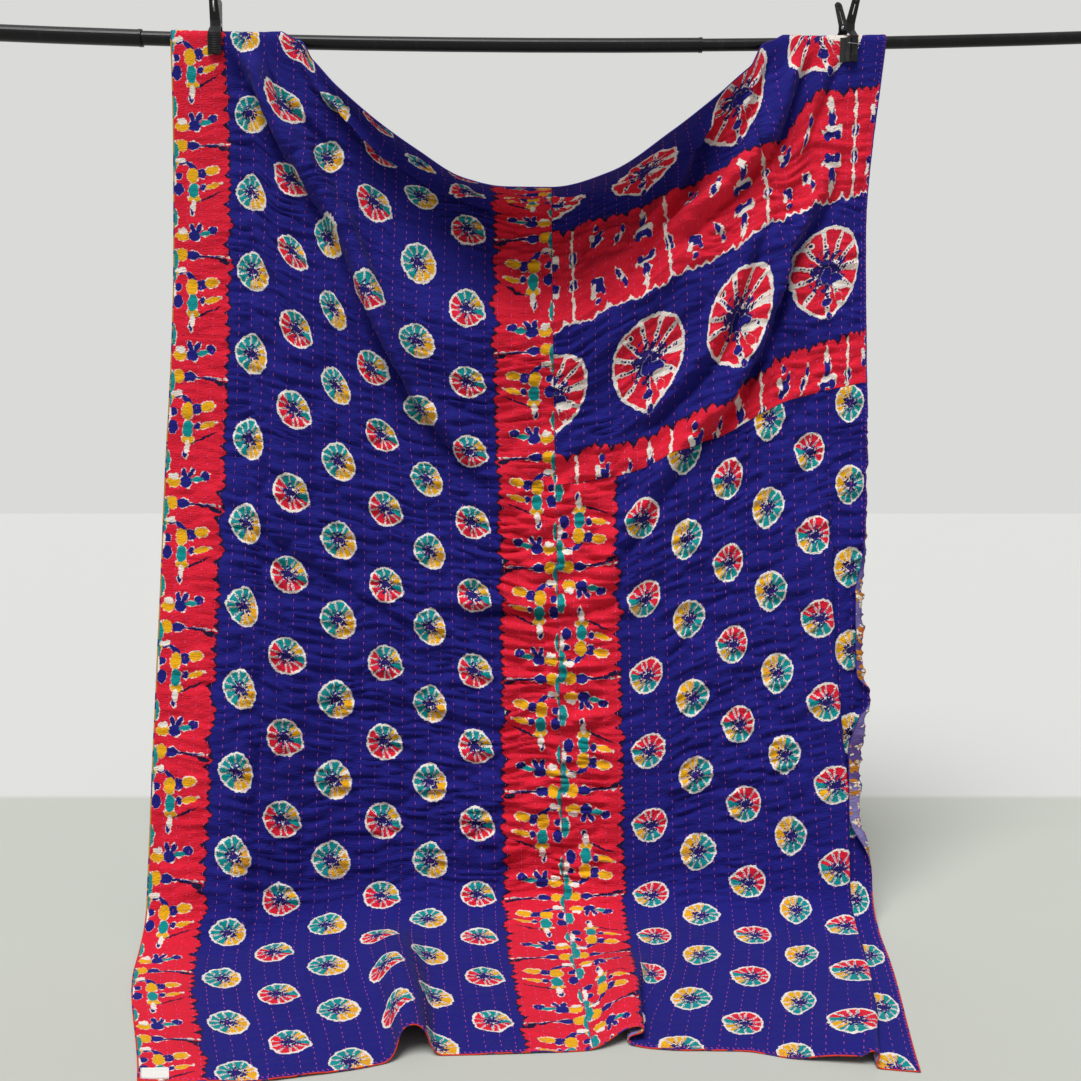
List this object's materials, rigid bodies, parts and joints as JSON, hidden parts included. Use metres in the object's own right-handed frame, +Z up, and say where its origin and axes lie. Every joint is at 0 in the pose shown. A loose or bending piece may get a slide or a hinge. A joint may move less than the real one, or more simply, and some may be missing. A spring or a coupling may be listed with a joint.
{
  "type": "kantha quilt on a rod",
  "caption": "Kantha quilt of two sewn cloths, clipped over a telescopic crossbar by spring clamps, its top hem in a swag and its lower end lying forward on the floor.",
  "frame": {"origin": "on the crossbar's axis at the middle of its length", "axes": "+X to the right of someone facing the quilt, -Y the way its printed front faces, +Z up"},
  "size_m": [2.16, 0.7867, 1.7412],
  "materials": {
    "indigo_print": "soft printed cotton, crinkled by running stitch",
    "end_print": "soft printed cotton, crinkled by running stitch",
    "back_print": "soft printed cotton, crinkled by running stitch",
    "label_tape": "plain woven tape",
    "black_tube": "satin powder coat",
    "clamp_nylon": "moulded satin",
    "clamp_steel": "bright plated",
    "clamp_rubber": "matte"
  },
  "bodies": {
    "root": {"front_panel_left": "indigo_print", "front_panel_end": "end_print", "front_panel_right": "indigo_print", "back_cloth": "back_print", "corner_label": "label_tape", "crossbar_left": "black_tube", "crossbar_middle": "black_tube", "crossbar_right": "black_tube", "left_clamp_front": "clamp_nylon", "left_clamp_back": "clamp_nylon", "left_clamp_pin": "clamp_steel", "left_clamp_spring": "clamp_steel", "left_clamp_pad_front": "clamp_rubber", "left_clamp_pad_back": "clamp_rubber", "right_clamp_front": "clamp_nylon", "right_clamp_back": "clamp_nylon", "right_clamp_pin": "clamp_steel", "right_clamp_spring": "clamp_steel", "right_clamp_pad_front": "clamp_rubber", "right_clamp_pad_back": "clamp_rubber"}
  },
  "joints": []
}
